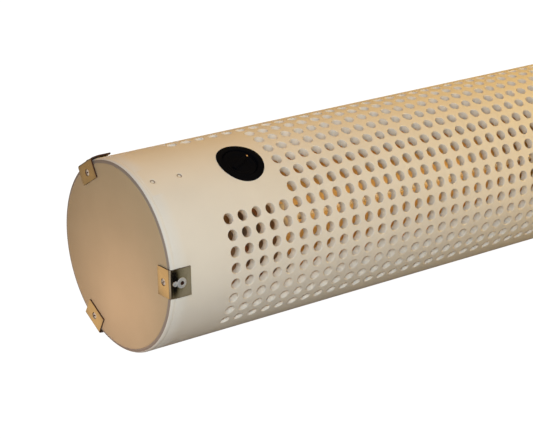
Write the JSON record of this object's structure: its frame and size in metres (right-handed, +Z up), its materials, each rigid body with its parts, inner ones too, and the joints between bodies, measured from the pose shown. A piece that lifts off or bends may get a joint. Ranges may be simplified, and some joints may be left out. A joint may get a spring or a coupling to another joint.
{
  "type": "tubular heat lamp warmer",
  "caption": "Round tube with a perforated window over a linear heat lamp, clipped end caps and a recessed rotary heat control near one end.",
  "frame": {"origin": "the middle of the tube on its axis, which is the middle of its box to within 2 mm", "axes": "+X along the tube towards its rear end, +Z up, the perforated window faces -Y and up"},
  "size_m": [0.6219, 0.1716, 0.1684],
  "materials": {
    "shell_paint": "satin cream powder coat over aluminium",
    "bright_steel": "bright plated sheet steel",
    "zinc_steel": "zinc plated",
    "black_plastic": "black moulded, satin gloss",
    "amber_plastic": "amber moulded dot",
    "gold_reflector": "bright gold anodised sheet",
    "quartz": "clear quartz",
    "tungsten": "coiled wire",
    "ceramic": "unglazed steatite ceramic",
    "brass": "turned, bright",
    "lead_sleeve": "silicone sleeving"
  },
  "bodies": {
    "housing": {"tube_shell": "shell_paint", "front_end_cap": "shell_paint", "rear_end_cap": "shell_paint", "bracket_rivet_1": "shell_paint", "bracket_rivet_2": "shell_paint", "front_clip_1": "bright_steel", "front_clip_rivet_1": "bright_steel", "front_clip_screw_1": "bright_steel", "front_clip_2": "bright_steel", "front_clip_rivet_2": "bright_steel", "front_clip_screw_2": "bright_steel", "front_clip_3": "bright_steel", "front_clip_rivet_3": "bright_steel", "front_clip_screw_3": "bright_steel", "rear_clip_1": "bright_steel", "rear_clip_rivet_1": "bright_steel", "rear_clip_screw_1": "bright_steel", "rear_clip_2": "bright_steel", "rear_clip_rivet_2": "bright_steel", "rear_clip_screw_2": "bright_steel", "rear_clip_3": "bright_steel", "rear_clip_rivet_3": "bright_steel", "rear_clip_screw_3": "bright_steel", "control_bezel": "black_plastic", "heat_regulator": "black_plastic", "power_inlet": "black_plastic", "control_nut": "zinc_steel", "control_bracket": "zinc_steel", "lamp_bracket_front": "zinc_steel", "lamp_bracket_rear": "zinc_steel", "bracket_screw_front": "zinc_steel", "bracket_screw_rear": "zinc_steel", "contact_spring": "zinc_steel", "inlet_screw_1": "zinc_steel", "inlet_screw_2": "zinc_steel", "reflector": "gold_reflector", "lamp_tube": "quartz", "lamp_filament": "tungsten", "lamp_base_front": "ceramic", "lamp_base_rear": "ceramic", "lamp_holder_front": "ceramic", "lamp_holder_rear": "ceramic", "terminal_block": "ceramic", "fixed_contact": "brass", "inlet_blade_live": "brass", "inlet_blade_neutral": "brass", "inlet_blade_earth": "brass", "lead_supply": "lead_sleeve", "lead_lamp_front": "lead_sleeve", "lead_lamp_rear": "lead_sleeve"},
    "heat_dial": {"control_knob": "black_plastic", "knob_index": "amber_plastic", "control_shaft": "zinc_steel"},
    "rear_contact": {"contact_plunger": "brass"}
  },
  "joints": [
    {"name": "heat_dial_turn", "type": "hinge", "parent": "housing", "child": "heat_dial", "pos_m": [-0.2061, -0.0408, 0.0736], "axis": [0, -0.4848, 0.8746], "range_deg": [-270, 0]},
    {"name": "contact_slide", "type": "slide", "parent": "housing", "child": "rear_contact", "axis": [1, 0, 0], "range_m": [0, 0.004], "stiffness_N_per_m": 600, "springref_m": -0.003, "deforming": ["contact_spring"]}
  ]
}
